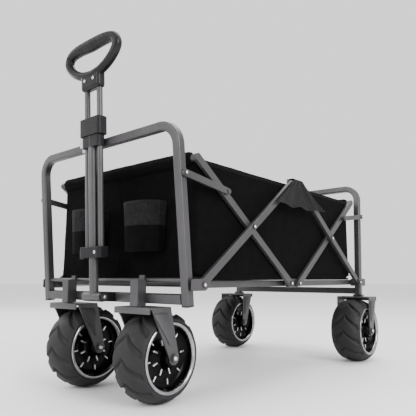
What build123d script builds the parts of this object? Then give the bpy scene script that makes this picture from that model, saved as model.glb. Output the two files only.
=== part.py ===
from build123d import *
import os
from math import atan2, cos, degrees, hypot, radians, sin, tan

# A folding beach cart on four wide wheels, in millimetres and degrees. X runs across the cart, +Y runs
# from the handle at the front to the back, and +Z is up from the ground.
# A point of the side view is a pair (y, z). "Out" is the distance from the cart's middle plane.

# ---- driving sizes: folding frame ----
FOLD_Y = 14.13         # middle of the floor's fold line, which centres the whole cart on Y = 0
HINGE_REACH = 400      # from the fold line to the floor hinge at each end
HINGE_UP = 41          # floor hinges above the posts' lower ends
RIM_UP = 270           # tub's rim, where the lift bars meet, above the floor hinges
JOINT_HALF = 22        # half the distance between the two studs of a joint plate
FOLDED_BAR_ANGLE = 80  # steepness of the lift bars when the cart is folded
BAR_WIDTH = 18
BAR_THICK = 10
BAR_ROUND = 1.5        # rounding of a bar's long edges
LINK_WIDTH = 15
LINK_THICK = 6
LINK_ALONG_HANGER = 110  # from the hanger's top end to the link's rivet
SIDE_GAP = 2           # between bars that pass each other
STUD_R = 4
LINK_PIN_R = 3
HEAD_R = 6.5
HEAD_THICK = 2
RUN_GAP = 0.05         # radial clearance of a pin in its hole
SEAT_GAP = 0.3         # between pieces that bear on each other across a joint
PLATE_THICK = 3
PLATE_WIDTH = 24
HANGER_TUBE_R = 8

# ---- driving sizes: end frames ----
POST_OUT = 250         # middle of each post
TUBE = 20              # square tube
TUBE_WALL = 1.5
TUBE_CORNER = 4
POST_UP = 6            # posts' lower ends above the fork plates
RAIL_UP = 372          # middle of the top rails above the posts' lower ends
RAIL_BEND = 45         # bend radius of a hoop's top corners
FRONT_POST_AHEAD = 27  # post foot's middle, beyond the floor hinge
REAR_POST_BEHIND = 31
FRONT_LEAN = 5.5
REAR_LEAN = 4.5
CROSSBAR_UP = 2        # crossbar's bottom above the post's end
CROSSBAR_TALL = 20
ROD_R = 5
ROD_UP = 50            # cross rod above the post's end
CAP_THICK = 3
BRACKET_BACK = 14      # bracket's back face from the post's middle

# ---- driving sizes: floor ----
FLOOR_RAIL_TALL = 16
FLOOR_RAIL_THICK = 8
FLOOR_TUBE_R = 6
FLOOR_TUBE_INSET = 18
BOARD_THICK = 8
BOARD_UP = 8.3           # board's underside above the hinge line
BOARD_INSET = 20       # board's end from the hinge
BOARD_SPLIT = 1        # half the gap between the boards

# ---- driving sizes: handle ----
PIVOT_AHEAD = 70       # handle pivot in front of the floor hinge
PIVOT_UP = 13          # handle pivot above the posts' lower ends
HANDLE_LEAN = 3.05
DRAW_TUBE_R = 10.5
DRAW_WALL = 1.5
BARREL_R = 11
BARREL_HALF = 32
PIVOT_PIN_R = 5
EAR_THICK = 4
COLLAR_LOW = 374
COLLAR_HIGH = 416
COLLAR_HALF = 38
COLLAR_DEEP = 29
SLEEVE_LOW = 346
SLEEVE_HALF = 32
ROD_OUT = 23.6         # each handle rod's middle from the handle's middle
ROD_BACK = 3           # handle rods behind the draw tube's axis
HANDLE_ROD_R = 7
HANDLE_ROD_WALL = 1.2
BLOCK_LOW = 88
BLOCK_HIGH = 113
BLOCK_HALF = 37
BLOCK_DEEP = 32
SLIDE_GAP = 0.1        # radial clearance of the sliding tubes
NECK_LOW = 487         # underside of the grip's neck
NECK_HIGH = 529
NECK_HALF = 34
NECK_DEEP = 22
GRIP_HALF = 93         # middle of the loop's side from the handle's middle
GRIP_LOW = 524         # middle of the loop's lower bend
GRIP_WIDEST = 574
GRIP_HIGH = 599        # middle of the palm bar
GRIP_R = 11
PALM_R = 14
GRIP_RIVET_R = 4
GRIP_RIVET_UP = 510

# ---- driving sizes: wheels ----
TYRE_R = 98
TYRE_WIDE = 96
RIM_R = 72
RIM_WIDE = 84
RIM_WALL = 4
HUB_R = 17
AXLE_R = 6
AXLE_HEAD_R = 9
AXLE_HEAD = 4
FORK_GAP = 4           # between tyre and fork leg
LEG_THICK = 3.5
TYRE_CLEAR = 5         # between a tyre and the fork plate above it
FORK_PLATE_THICK = 4
LEG_TOP_HALF = 30
LEG_END_R = 14
CASTER_OUT = 127
CASTER_AHEAD = 51      # kingpin in front of the floor hinge
CASTER_TRAIL = 57
KINGPIN_R = 6
RACE_R = 11
HOUSING_HALF = 12
HOUSING_BACK = 13
HOUSING_UP = 2         # caster housing above the fork plate
HOUSING_TALL = 55
TONGUE_HALF = 8
TONGUE_UP = 10         # tongue above the housing
TONGUE_LAP = 20        # tongue's length on the housing
TONGUE_THICK = 4
REAR_WHEEL_OUT = POST_OUT
REAR_AXLE_INSIDE = 10  # rear axle ahead of the rear floor hinge

# ---- driving sizes: soft goods ----
CLOTH = 2.5            # thickness of the plain tub walls
TUB_HALF = POST_OUT - 7   # outer face of the side walls
TUB_UP = 20            # tub's lower edge above the floor hinges
REAR_WALL_INSET = 16   # rear wall's outer face inside the hanger tube's axis
POCKET_OUT = 102
POCKET_HALF = 59
POCKET_DEEP = 52
POCKET_UP = 54         # pocket's bottom above the tub's lower edge
POCKET_TALL = 110
CAP_TOP_HALF = 20
CAP_LOW_HALF = 132
CAP_DROP = 80          # from the cap's top to the flap's lower edge
CAP_GAP = 4            # between the lift bars and the cap's flap


# ---- places worked out from them ----
FORK_PLATE_Z = 2 * TYRE_R + TYRE_CLEAR
FORK_TOP_Z = FORK_PLATE_Z + FORK_PLATE_THICK
POST_BOTTOM_Z = FORK_TOP_Z + POST_UP
HINGE_Z = POST_BOTTOM_Z + HINGE_UP
RIM_Z = HINGE_Z + RIM_UP
RAIL_Z = POST_BOTTOM_Z + RAIL_UP
PIVOT_Z = POST_BOTTOM_Z + PIVOT_UP
HOUSING_BOTTOM_Z = FORK_TOP_Z + HOUSING_UP
HOUSING_TOP_Z = HOUSING_BOTTOM_Z + HOUSING_TALL
TONGUE_TOP_Z = HOUSING_TOP_Z + TONGUE_UP
TUB_BOTTOM_Z = HINGE_Z + TUB_UP
POCKET_LOW = TUB_BOTTOM_Z + POCKET_UP
POCKET_HIGH = POCKET_LOW + POCKET_TALL
CAP_TOP_Z = RIM_Z + PLATE_WIDTH / 2 + SEAT_GAP + CLOTH
CAP_LOW_Z = CAP_TOP_Z - CAP_DROP
FRONT_HINGE = (FOLD_Y - HINGE_REACH, HINGE_Z)
REAR_HINGE = (FOLD_Y + HINGE_REACH, HINGE_Z)
FOLD_LINE = (FOLD_Y, HINGE_Z)
FRONT_WALL_Y = FRONT_HINGE[0] - CLOTH / 2   # outer face, hung from the hanger tube's axis
FRONT_WALL_TOP_Z = RIM_Z - HANGER_TUBE_R - SEAT_GAP
REAR_WALL_Y = REAR_HINGE[0] - REAR_WALL_INSET
BAR_RUN = HINGE_REACH - JOINT_HALF
BAR_LENGTH = hypot(BAR_RUN, RIM_UP)
BAR_ANGLE = degrees(atan2(RIM_UP, BAR_RUN))

HANGER_OUT = POST_OUT
LIFT_OUT = HANGER_OUT + BAR_THICK + SIDE_GAP
HANGER_IN_FACE = HANGER_OUT - BAR_THICK / 2
HANGER_OUT_FACE = HANGER_OUT + BAR_THICK / 2
LIFT_IN_FACE = LIFT_OUT - BAR_THICK / 2
LIFT_OUT_FACE = LIFT_OUT + BAR_THICK / 2
LINK_IN_FACE = POST_OUT + TUBE / 2 + 1
LINK_OUT_FACE = LINK_IN_FACE + LINK_THICK
POST_IN_FACE = POST_OUT - TUBE / 2
REAR_RAIL_OUT_FACE = POST_IN_FACE - 1
REAR_RAIL_IN_FACE = REAR_RAIL_OUT_FACE - FLOOR_RAIL_THICK
FRONT_RAIL_OUT_FACE = REAR_RAIL_IN_FACE - SIDE_GAP
FRONT_RAIL_IN_FACE = FRONT_RAIL_OUT_FACE - FLOOR_RAIL_THICK

FRONT_FOOT = (FRONT_HINGE[0] - FRONT_POST_AHEAD, POST_BOTTOM_Z)
REAR_FOOT = (REAR_HINGE[0] + REAR_POST_BEHIND, POST_BOTTOM_Z)
HANDLE_PIVOT = (FRONT_HINGE[0] - PIVOT_AHEAD, PIVOT_Z)
FRONT_AXLE = (FRONT_HINGE[0] - CASTER_AHEAD + CASTER_TRAIL, TYRE_R)
REAR_AXLE = (REAR_HINGE[0] - REAR_AXLE_INSIDE, TYRE_R)
KINGPIN_Y = FRONT_HINGE[0] - CASTER_AHEAD
LEG_IN = TYRE_WIDE / 2 + FORK_GAP
LEG_OUT = LEG_IN + LEG_THICK
HOUSING_BORE_TOP_Z = HOUSING_TOP_Z - HOUSING_HALF


def post_y(foot, lean, z):
    """Where a leaning post's middle is at a height. A positive lean is towards the front."""
    return foot[0] - (z - foot[1]) * tan(radians(lean))


def toward(start, end, share):
    """The point a share of the way from start to end."""
    return tuple(a + (b - a) * share for a, b in zip(start, end))


def link_pin(axis_end, direction, foot, lean):
    """The post point from which one link reaches the hanger both open and folded."""
    along = LINK_ALONG_HANGER
    open_angle, shut_angle = radians(BAR_ANGLE), radians(FOLDED_BAR_ANGLE)
    spots = [(along * cos(t), (BAR_LENGTH - along) * sin(t)) for t in (open_angle, shut_angle)]
    height = RIM_UP * 0.8
    for _ in range(20):
        back = (axis_end[0] - post_y(foot, lean, axis_end[1] + height)) * direction
        # the height at which both spots are equally far from the post point
        (y0, z0), (y1, z1) = spots
        height = ((y1 + back) ** 2 + z1**2 - (y0 + back) ** 2 - z0**2) / (2 * (z1 - z0))
    turn = [degrees(atan2(z - height, y + back)) for y, z in spots]
    return (axis_end[0] - back * direction, axis_end[1] + height), turn[1] - turn[0]


FRONT_TOP_STUD = (FOLD_Y - JOINT_HALF, RIM_Z)
REAR_TOP_STUD = (FOLD_Y + JOINT_HALF, RIM_Z)
FRONT_LOW_STUD = (FOLD_Y - JOINT_HALF, HINGE_Z)
REAR_LOW_STUD = (FOLD_Y + JOINT_HALF, HINGE_Z)
FRONT_HANGER_TOP = (FRONT_HINGE[0], RIM_Z)
REAR_HANGER_TOP = (REAR_HINGE[0], RIM_Z)
FRONT_CROSSING = toward(FRONT_HINGE, FRONT_TOP_STUD, 0.5)
REAR_CROSSING = toward(REAR_HINGE, REAR_TOP_STUD, 0.5)
FRONT_LINK_PIN, LINK_TURN_FRONT = link_pin(FRONT_HINGE, 1, FRONT_FOOT, FRONT_LEAN)
REAR_LINK_PIN, LINK_TURN_REAR = link_pin(REAR_HINGE, -1, REAR_FOOT, -REAR_LEAN)
FRONT_LINK_END = toward(FRONT_HANGER_TOP, FRONT_LOW_STUD, LINK_ALONG_HANGER / BAR_LENGTH)
REAR_LINK_END = toward(REAR_HANGER_TOP, REAR_LOW_STUD, LINK_ALONG_HANGER / BAR_LENGTH)


# ---- shapes used by several pieces ----
def block(x, y, z):
    """A box between two corners, given as (low, high) on each axis."""
    low, high = zip(x, y, z)
    size = [b - a for a, b in zip(low, high)]
    return Pos(*[(a + b) / 2 for a, b in zip(low, high)]) * Box(*size)


def rod(x, point, radius):
    """A round rod along X through a side-view point."""
    return Pos((x[0] + x[1]) / 2, *point) * Rot(0, 90, 0) * Cylinder(radius, x[1] - x[0])


def post_rod(xy, z, radius):
    """An upright round rod."""
    return Pos(*xy, (z[0] + z[1]) / 2) * Cylinder(radius, z[1] - z[0])


def flat_bar(x, start, end, width, holes=(), rounding=0.0):
    """A flat bar between two side-view points, with round ends and holes as (point, radius)."""
    run = (end[0] - start[0], end[1] - start[1])
    plane = Plane((x[0], *toward(start, end, 0.5)), x_dir=(0, *run), z_dir=(1, 0, 0))
    bar = extrude(plane * SlotCenterToCenter(hypot(*run), width), amount=x[1] - x[0])
    if rounding:
        faces = bar.faces().sort_by(Axis.X)
        bar = fillet(faces[0].edges() + faces[-1].edges(), rounding)
    for point, radius in holes:
        bar -= rod((x[0] - 1, x[1] + 1), point, radius)
    return bar


def both_sides(part):
    """A right-hand piece and its left-hand twin."""
    return [part, mirror(part, Plane.YZ)]


def leaning(foot, lean):
    """The frame of a leaning end frame: its origin is at the foot, and its Z runs up the posts."""
    return Pos(0, *foot) * Rot(X=lean)


def save(node, solids):
    """Write one node's solids to parts/."""
    solids = solids if isinstance(solids, list) else [solids]
    solids = [s for piece in solids for s in piece.solids()]
    export_step(Compound(children=[Solid(s.wrapped) for s in solids]), f"parts/{node}.step")


# ---- end frames ----
def square_section(size, corner):
    return RectangleRounded(size, size, corner)


def hoop(foot, lean, pin_point):
    """Two posts and a top rail, bent from one square tube, with a hole in each post for a link pin."""
    tall = (RAIL_Z - foot[1]) / cos(radians(lean))
    path = FilletPolyline(
        (-POST_OUT, 0, 0), (-POST_OUT, 0, tall), (POST_OUT, 0, tall), (POST_OUT, 0, 0), radius=RAIL_BEND
    )
    start = Pos(-POST_OUT, 0, 0)
    wall = square_section(TUBE, TUBE_CORNER)
    wall -= square_section(TUBE - 2 * TUBE_WALL, TUBE_CORNER - TUBE_WALL)
    tube = leaning(foot, lean) * sweep(start * wall, path=path)
    for side in (-1, 1):
        reach = sorted((side * POST_OUT, side * (POST_OUT + TUBE)))
        tube -= rod(reach, pin_point, LINK_PIN_R + RUN_GAP)
    return tube


def post_envelope(foot, lean):
    """The right-hand post as a solid bar, for cutting what fits against it."""
    half = TUBE / 2
    return leaning(foot, lean) * block((POST_IN_FACE, POST_OUT + half), (-half, half), (0, RIM_UP))


def crossbar(foot, lean):
    """A rectangular tube between the posts' inner faces."""
    half, low, high = TUBE / 2, CROSSBAR_UP, CROSSBAR_UP + CROSSBAR_TALL
    bar = block((-POST_IN_FACE, POST_IN_FACE), (-half, half), (low, high))
    hollow = block(
        (-POST_IN_FACE - 1, POST_IN_FACE + 1),
        (-half + TUBE_WALL, half - TUBE_WALL),
        (low + TUBE_WALL, high - TUBE_WALL),
    )
    return leaning(foot, lean) * (fillet(bar.edges().filter_by(Axis.X), 2) - hollow)


def crossbar_envelope(foot, lean):
    half = TUBE / 2
    shape = block((-POST_OUT, POST_OUT), (-half, half), (CROSSBAR_UP, CROSSBAR_UP + CROSSBAR_TALL))
    return leaning(foot, lean) * shape


def post_caps(foot, lean):
    """Plastic caps on the posts' open ends, each with a plug inside the tube."""
    plug = TUBE - 2 * TUBE_WALL - 2 * SEAT_GAP
    cap = extrude(square_section(TUBE, TUBE_CORNER), amount=-CAP_THICK)
    cap += extrude(square_section(plug, TUBE_CORNER - TUBE_WALL), amount=12)
    return both_sides(leaning(foot, lean) * Pos(POST_OUT, 0, 0) * cap)


def corner_brackets(foot, lean, hinge, back):
    """A channel behind each post: two cheeks that carry the hinge pin, and a web between them."""
    middle = post_y(foot, lean, hinge[1])
    outer = (LIFT_OUT_FACE + 1.5, LIFT_OUT_FACE + 1.5 + PLATE_THICK)
    inner = (POST_IN_FACE, POST_IN_FACE + PLATE_THICK)
    bracket = flat_bar(outer, (middle, hinge[1]), hinge, PLATE_WIDTH)
    bracket += flat_bar(inner, (middle, hinge[1]), hinge, PLATE_WIDTH)
    web_y = sorted((middle, middle + back * BRACKET_BACK))
    half = PLATE_WIDTH / 2
    bracket += block((inner[0], outer[1]), web_y, (hinge[1] - half, hinge[1] + half))
    bracket -= post_envelope(foot, lean)
    far = sorted((middle - back * TUBE * 2, middle - back * TUBE * 0.35))
    bracket -= block((inner[0] - 1, outer[1] + 1), far, (hinge[1] - TUBE, hinge[1] + TUBE))
    bracket -= rod((inner[0] - 1, outer[1] + 1), hinge, STUD_R + RUN_GAP)
    return both_sides(bracket.solids().sort_by(SortBy.VOLUME)[-1])


def hinge_pins(hinge, inner):
    """The pins of the bar hinge, headed outside the bracket."""
    outer = LIFT_OUT_FACE + 1.5 + PLATE_THICK
    pin = rod((inner, outer + 0.2), hinge, STUD_R)
    return both_sides(pin + rod((outer + 0.2, outer + 0.2 + HEAD_THICK), hinge, HEAD_R))


def link_pins(point):
    """The pins on which the links turn, riveted into the posts' outer walls."""
    face = POST_OUT + TUBE / 2
    pin = rod((face - TUBE_WALL - 2, LINK_OUT_FACE + SEAT_GAP), point, LINK_PIN_R)
    head = (LINK_OUT_FACE + SEAT_GAP, LINK_OUT_FACE + SEAT_GAP + HEAD_THICK)
    return both_sides(pin + rod(head, point, HEAD_R - 1))


def front_cross_rod():
    """A thin rod between the front posts, above the crossbar."""
    z = POST_BOTTOM_Z + ROD_UP
    return rod((-POST_IN_FACE, POST_IN_FACE), (post_y(FRONT_FOOT, FRONT_LEAN, z), z), ROD_R)


def caster_housings():
    """Upright sockets on the crossbar's front, each bored for a kingpin, with a tongue to the rod."""
    front = post_y(FRONT_FOOT, FRONT_LEAN, HOUSING_BOTTOM_Z) - TUBE / 2
    body = block(
        (-HOUSING_HALF, HOUSING_HALF),
        (KINGPIN_Y - HOUSING_BACK, max(KINGPIN_Y + HOUSING_BACK, front)),
        (HOUSING_BOTTOM_Z, HOUSING_TOP_Z),
    )
    body = fillet(body.edges().filter_by(Axis.Z), 2.5)
    rod_z = POST_BOTTOM_Z + ROD_UP
    rod_front = post_y(FRONT_FOOT, FRONT_LEAN, rod_z) - ROD_R
    tongue = block(
        (-TONGUE_HALF, TONGUE_HALF), (rod_front - TONGUE_THICK, rod_front),
        (HOUSING_TOP_Z - TONGUE_LAP, TONGUE_TOP_Z),
    )
    body = Pos(CASTER_OUT, 0, 0) * (body + tongue)
    body -= crossbar_envelope(FRONT_FOOT, FRONT_LEAN)
    body -= rod((0, POST_OUT), (rod_front + ROD_R, rod_z), ROD_R)
    bore = (HOUSING_BOTTOM_Z - 1, HOUSING_BORE_TOP_Z)
    body -= post_rod((CASTER_OUT, KINGPIN_Y), bore, KINGPIN_R + RUN_GAP)
    return both_sides(body.solids().sort_by(SortBy.VOLUME)[-1])


def handle_bracket():
    """Two ears on the crossbar's front that hold the handle's pivot pin."""
    y, z = HANDLE_PIVOT
    back = post_y(FRONT_FOOT, FRONT_LEAN, z)
    ear = (BARREL_HALF + 1, BARREL_HALF + 1 + EAR_THICK)
    shape = flat_bar(ear, (y, z), (back, z), 20)
    shape += mirror(shape, Plane.YZ)
    shape += block((-ear[1], ear[1]), (y + BARREL_R + 2, back), (z - 10, z + 10))
    shape -= crossbar_envelope(FRONT_FOOT, FRONT_LEAN)
    shape -= rod((-ear[1] - 1, ear[1] + 1), HANDLE_PIVOT, PIVOT_PIN_R + RUN_GAP)
    return shape.solids().sort_by(SortBy.VOLUME)[-1]


def handle_pin():
    """The headed pin through the bracket's ears and the barrel."""
    end = BARREL_HALF + 1 + EAR_THICK + 0.2
    pin = rod((-end, end), HANDLE_PIVOT, PIVOT_PIN_R)
    for side in (-1, 1):
        pin += rod(sorted((side * end, side * (end + 3))), HANDLE_PIVOT, PIVOT_PIN_R + 3)
    return pin


def rail_clip():
    """A spring clip round the top rail, beside the draw tube, that holds the handle upright."""
    half = TUBE / 2
    rail_up = (RAIL_Z - POST_BOTTOM_Z) / cos(radians(FRONT_LEAN))
    clip = block((-9, 9), (-half - 4, half + 3), (-half - 3, half + 3))
    clip -= block((-10, 10), (-half, half), (-half, half))
    clip -= block((-10, 10), (half - 2, half + 4), (-half + 4, half - 4))
    clip += block((-6, 6), (-half - 12, -half - 4), (-3, half + 8))
    return leaning(FRONT_FOOT, FRONT_LEAN) * Pos(-(COLLAR_HALF + 12), 0, rail_up) * clip


# ---- handle, built upright over its pivot and then leaned ----
HANDLE_FRAME = Pos(0, *HANDLE_PIVOT) * Rot(X=HANDLE_LEAN)


def handle_box(half, deep, low, high, corner):
    """A moulded block round the draw tube and the rods."""
    plan = Pos(0, ROD_BACK / 2, low) * RectangleRounded(2 * half, deep, corner)
    shape = extrude(plan, amount=high - low)
    return fillet(shape.faces().sort_by(Axis.Z)[-1].edges(), 1.5)


def rod_holes(low, high, gap):
    """Clearance for both handle rods."""
    span = (low - 1, high + 1)
    holes = [post_rod((side * ROD_OUT, ROD_BACK), span, HANDLE_ROD_R + gap) for side in (-1, 1)]
    return holes[0] + holes[1]


def draw_tube():
    """The centre tube, welded to its pivot barrel."""
    barrel = rod((-BARREL_HALF, BARREL_HALF), (0, 0), BARREL_R)
    tube = post_rod((0, 0), (0, COLLAR_HIGH - 4), DRAW_TUBE_R) - barrel
    tube -= post_rod((0, 0), (-1, COLLAR_HIGH), DRAW_TUBE_R - DRAW_WALL)
    barrel -= rod((-BARREL_HALF - 1, BARREL_HALF + 1), (0, 0), PIVOT_PIN_R + RUN_GAP)
    return [HANDLE_FRAME * barrel, HANDLE_FRAME * tube.solids().sort_by(SortBy.VOLUME)[-1]]


def draw_collar():
    """The guide at the tube's top, with a longer sleeve below."""
    collar = handle_box(COLLAR_HALF, COLLAR_DEEP, COLLAR_LOW, COLLAR_HIGH, 9)
    collar += handle_box(SLEEVE_HALF, COLLAR_DEEP - 5, SLEEVE_LOW, COLLAR_LOW + 3, 9)
    collar -= post_rod((0, 0), (SLEEVE_LOW - 1, COLLAR_HIGH - 4), DRAW_TUBE_R + RUN_GAP)
    collar -= rod_holes(SLEEVE_LOW, COLLAR_HIGH, SLIDE_GAP)
    return HANDLE_FRAME * collar


def handle_rods():
    """The two thin tubes that slide past the draw tube."""
    rods = []
    for side in (-1, 1):
        spot = (side * ROD_OUT, ROD_BACK)
        tube = post_rod(spot, (BLOCK_LOW + 4, GRIP_RIVET_UP + 10), HANDLE_ROD_R)
        rods.append(tube - post_rod(spot, (0, GRIP_HIGH), HANDLE_ROD_R - HANDLE_ROD_WALL))
    return [HANDLE_FRAME * r for r in rods]


def slider_block():
    """The block at the rods' lower end, which runs on the draw tube, with its lock lever."""
    shape = handle_box(BLOCK_HALF, BLOCK_DEEP, BLOCK_LOW, BLOCK_HIGH, 8)
    lever = block((-BLOCK_HALF - 12, -BLOCK_HALF + 4), (-4, 8), (BLOCK_LOW - 3, BLOCK_HIGH - 6))
    shape += fillet(lever.edges().filter_by(Axis.Y), 3)
    shape -= post_rod((0, 0), (BLOCK_LOW - 1, BLOCK_HIGH + 1), DRAW_TUBE_R + SLIDE_GAP)
    for side in (-1, 1):
        spot = (side * ROD_OUT, ROD_BACK)
        shape -= post_rod(spot, (BLOCK_LOW + 4, BLOCK_HIGH + 1), HANDLE_ROD_R + RUN_GAP)
    return HANDLE_FRAME * shape


def grip_loop():
    """The closed loop of the grip: a round section carried round a rounded triangle."""
    right = Spline(
        (0, 0, GRIP_LOW), (GRIP_HALF * 0.62, 0, GRIP_LOW + 20), (GRIP_HALF, 0, GRIP_WIDEST),
        (GRIP_HALF * 0.66, 0, GRIP_HIGH), (0, 0, GRIP_HIGH + 3),
        tangents=[(1, 0, 0), (-1, 0, 0)],
    )
    places = (0, 0.25, 0.5, 0.75, 1)
    radii = (GRIP_R, GRIP_R, GRIP_R, PALM_R * 0.93, PALM_R)
    sections = [
        Plane(right @ t, z_dir=right % t) * Circle(r) for t, r in zip(places, radii)
    ]
    half = sweep(sections=sections, path=right, multisection=True)
    return half + mirror(half, Plane.YZ)


def grip():
    """The moulded grip: the loop and the neck that takes the rods."""
    neck_plan = Pos(0, ROD_BACK / 2, NECK_LOW) * RectangleRounded(2 * NECK_HALF, NECK_DEEP, 9)
    neck = extrude(neck_plan, amount=NECK_HIGH - NECK_LOW)
    shape = grip_loop() + neck
    for side in (-1, 1):
        spot = (side * ROD_OUT, ROD_BACK)
        shape -= post_rod(spot, (NECK_LOW - 1, GRIP_RIVET_UP + 11), HANDLE_ROD_R + RUN_GAP)
    return HANDLE_FRAME * shape


def handle_rivets():
    """Rivet heads on the grip's neck and on the slider block."""
    front = ROD_BACK / 2 - NECK_DEEP / 2
    low_front = ROD_BACK / 2 - BLOCK_DEEP / 2
    spots = [(side * ROD_OUT * 0.7, front, GRIP_RIVET_UP) for side in (-1, 1)]
    spots.append((ROD_OUT, low_front, (BLOCK_LOW + BLOCK_HIGH) / 2))
    head = Rot(90, 0, 0) * Cylinder(GRIP_RIVET_R, 2, align=(Align.CENTER, Align.CENTER, Align.MIN))
    return [HANDLE_FRAME * Pos(*spot) * head for spot in spots]


# ---- wheels and forks ----
def fork(out, top_y, axle, front_face, pad_top):
    """A pressed fork: a top plate and two tapering legs bored for the axle."""
    plate = block((out - LEG_OUT, out + LEG_OUT), (top_y - LEG_TOP_HALF, top_y + LEG_TOP_HALF),
                  (FORK_PLATE_Z, FORK_TOP_Z))
    shape = fillet(plate.edges().filter_by(Axis.Z), 4)
    outline = Polygon(
        (top_y - LEG_TOP_HALF + 3, FORK_TOP_Z), (axle[0] - LEG_END_R, axle[1]),
        (axle[0] + LEG_END_R, axle[1]), (top_y + LEG_TOP_HALF - 1, FORK_TOP_Z), align=None,
    )
    outline += Pos(*axle) * Circle(LEG_END_R)
    outline -= Pos(*axle) * Circle(AXLE_R + RUN_GAP)
    for side in (-1, 1):
        inner = out + side * LEG_IN
        plane = Plane((inner, 0, 0), x_dir=(0, 1, 0), z_dir=(1, 0, 0))
        shape += extrude(plane * outline, amount=side * LEG_THICK)
    shape += block((out - 14, out + 14), (front_face, front_face + 24), (FORK_TOP_Z - 1, pad_top))
    return shape


def front_fork(out):
    """A caster fork with its kingpin and bearing race."""
    shape = fork(out, KINGPIN_Y + LEG_TOP_HALF - 14, FRONT_AXLE, KINGPIN_Y - 12, FORK_TOP_Z)
    shape += post_rod((out, KINGPIN_Y), (FORK_TOP_Z - 1, HOUSING_BOTTOM_Z - SEAT_GAP), RACE_R)
    return shape + post_rod((out, KINGPIN_Y), (FORK_TOP_Z - 1, HOUSING_BORE_TOP_Z - 1), KINGPIN_R)


def rear_fork(out):
    """A fixed fork, padded up to the crossbar's underside."""
    top_y = (REAR_FOOT[0] + REAR_AXLE[0]) / 2
    shape = fork(out, top_y, REAR_AXLE, REAR_FOOT[0] - 12, POST_BOTTOM_Z + CROSSBAR_UP + 2)
    shape -= crossbar_envelope(REAR_FOOT, -REAR_LEAN)
    for cap in post_caps(REAR_FOOT, -REAR_LEAN):
        shape -= cap
    shape -= leaning(REAR_FOOT, -REAR_LEAN) * block((-POST_OUT - TUBE, POST_OUT + TUBE), (-20, 20), (-0.1, 9))
    return shape.solids().sort_by(SortBy.VOLUME)[-1]


def axle(out, point):
    """A headed axle through both legs of a fork."""
    end = LEG_OUT + 0.2
    shaft = rod((out - end, out + end), point, AXLE_R)
    for side in (-1, 1):
        head = sorted((out + side * end, out + side * (end + AXLE_HEAD)))
        shaft += rod(head, point, AXLE_HEAD_R)
    return shaft


def turned(out, point, outline):
    """Turn an outline of (distance from the wheel's middle, radius) points about the axle."""
    face = make_face(Polyline(*[(x, r) for x, r in outline], close=True))
    return Pos(out, *point) * revolve(face, Axis.X)


def tyre(out, point):
    """The wide tyre as a plain solid of its full size, lugs included."""
    half, crown = TYRE_WIDE / 2, TYRE_R
    seat = RIM_R + 0.2
    right = [(half * 0.5, crown - 1.5), (half * 0.85, crown - 8), (half, crown - 18), (half, seat + 6),
             (half * 0.8, seat)]
    left = [(-x, r) for x, r in reversed(right)]
    return turned(out, point, [(0, crown)] + right + left)


def rim(out, point):
    """The dished rim: barrel, disc and hub, bored for the axle."""
    half, disc = RIM_WIDE / 2, 6
    hub_half = LEG_IN - 1
    bore = AXLE_R + RUN_GAP
    right = [(hub_half, bore), (hub_half, HUB_R), (disc, HUB_R + 4), (disc, RIM_R - RIM_WALL - 2),
             (half, RIM_R - RIM_WALL), (half, RIM_R)]
    left = [(-x, r) for x, r in reversed(right)]
    return turned(out, point, right + left)


# ---- side frames ----
def stud_holes(*points):
    """Running holes for studs, as pairs of centre and radius."""
    return [(point, STUD_R + RUN_GAP) for point in points]


def lift_bars(hinge, top_stud, crossing):
    """The rising bars, outside the hangers."""
    x = (LIFT_IN_FACE, LIFT_OUT_FACE)
    holes = stud_holes(hinge, top_stud, crossing)
    return both_sides(flat_bar(x, hinge, top_stud, BAR_WIDTH, holes, BAR_ROUND))


def hanger(top, low_stud, crossing):
    """Two hanging bars, joined at their top ends by a round cross tube."""
    x = (HANGER_IN_FACE, HANGER_OUT_FACE)
    bars = both_sides(flat_bar(x, top, low_stud, BAR_WIDTH, stud_holes(low_stud, crossing), BAR_ROUND))
    tube = rod((-HANGER_IN_FACE, HANGER_IN_FACE), top, HANGER_TUBE_R)
    return bars + [tube - rod((-HANGER_IN_FACE - 1, HANGER_IN_FACE + 1), top, HANGER_TUBE_R - TUBE_WALL)]


def crossing_rivets(crossing):
    """Rivets where a lift bar crosses a hanger."""
    face = LIFT_OUT_FACE + SEAT_GAP
    return both_sides(
        rod((TUB_HALF + 1, face), crossing, STUD_R) + rod((face, face + HEAD_THICK), crossing, HEAD_R)
    )


def joint_plates(x, middle, stud_end):
    """A plate with two headed studs, on which the ends of two bars turn."""
    half = JOINT_HALF
    ends = [(middle[0] - half, middle[1]), (middle[0] + half, middle[1])]
    plate = flat_bar(x, *ends, PLATE_WIDTH)
    for point in ends:
        plate += rod((x[1] - 1, stud_end), point, STUD_R)
        plate += rod((stud_end, stud_end + HEAD_THICK), point, HEAD_R)
    return plate


def top_plates():
    """Plates between the lift bars' upper ends and the tub's rim."""
    x = (LIFT_IN_FACE - SEAT_GAP * 3 - PLATE_THICK, LIFT_IN_FACE - SEAT_GAP * 3)
    plate = joint_plates(x, (FOLD_Y, RIM_Z), LIFT_OUT_FACE + SEAT_GAP)
    tab = block((TUB_HALF + SEAT_GAP, x[0] + 1), (FOLD_Y - 15, FOLD_Y + 15), (RIM_Z - 6, RIM_Z + 6))
    return both_sides(plate + tab)


def bottom_plates():
    """Plates behind the hangers' lower ends."""
    x = (HANGER_IN_FACE - 1 - PLATE_THICK, HANGER_IN_FACE - 1)
    return both_sides(joint_plates(x, FOLD_LINE, HANGER_OUT_FACE + SEAT_GAP))


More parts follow.
